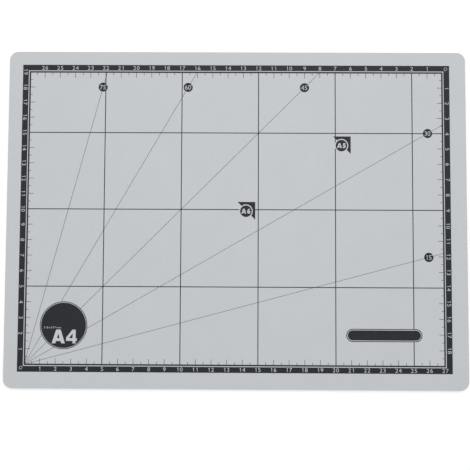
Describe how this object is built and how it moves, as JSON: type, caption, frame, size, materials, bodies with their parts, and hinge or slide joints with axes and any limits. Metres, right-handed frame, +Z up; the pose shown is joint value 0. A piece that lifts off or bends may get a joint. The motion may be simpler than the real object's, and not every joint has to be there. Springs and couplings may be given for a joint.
{
  "type": "self healing cutting mat",
  "caption": "Thin laminated cutting mat, pale grey, with a black printed centimetre ruler, square grid, angle lines and paper size markers.",
  "frame": {"origin": "under the centre of the mat, on the surface that it lies on", "axes": "+X along the long side, towards the high numbers of the lower scale; +Y along the short side, away from the ruler's zero corner; +Z up, out of the printed face"},
  "size_m": [0.2984, 0.2186, 0.003],
  "materials": {
    "healing_skin": "smooth matte PVC skin, very fine even grain, pale neutral grey",
    "cushion": "cut edge of soft PVC, slightly darker grey, faint shear marks",
    "core": "cut edge of hard PVC, off white, faint shear marks",
    "ink": "satin black screen print ink, thin and slightly uneven"
  },
  "bodies": {
    "root": {"bottom_healing_ply": "healing_skin", "lower_cushion_ply": "cushion", "rigid_core_ply": "core", "upper_cushion_ply": "cushion", "top_healing_ply": "healing_skin", "ruler_band": "ink", "ruler_grid_lines": "ink", "angle_disc_15": "ink", "angle_disc_30": "ink", "angle_disc_45": "ink", "angle_disc_60": "ink", "angle_disc_75": "ink", "a5_corner_mark": "ink", "a5_disc": "ink", "a6_corner_mark": "ink", "a6_disc": "ink", "a4_badge_disc": "ink", "a4_badge_ring": "ink", "label_pill": "ink", "label_outline": "ink"}
  },
  "joints": []
}
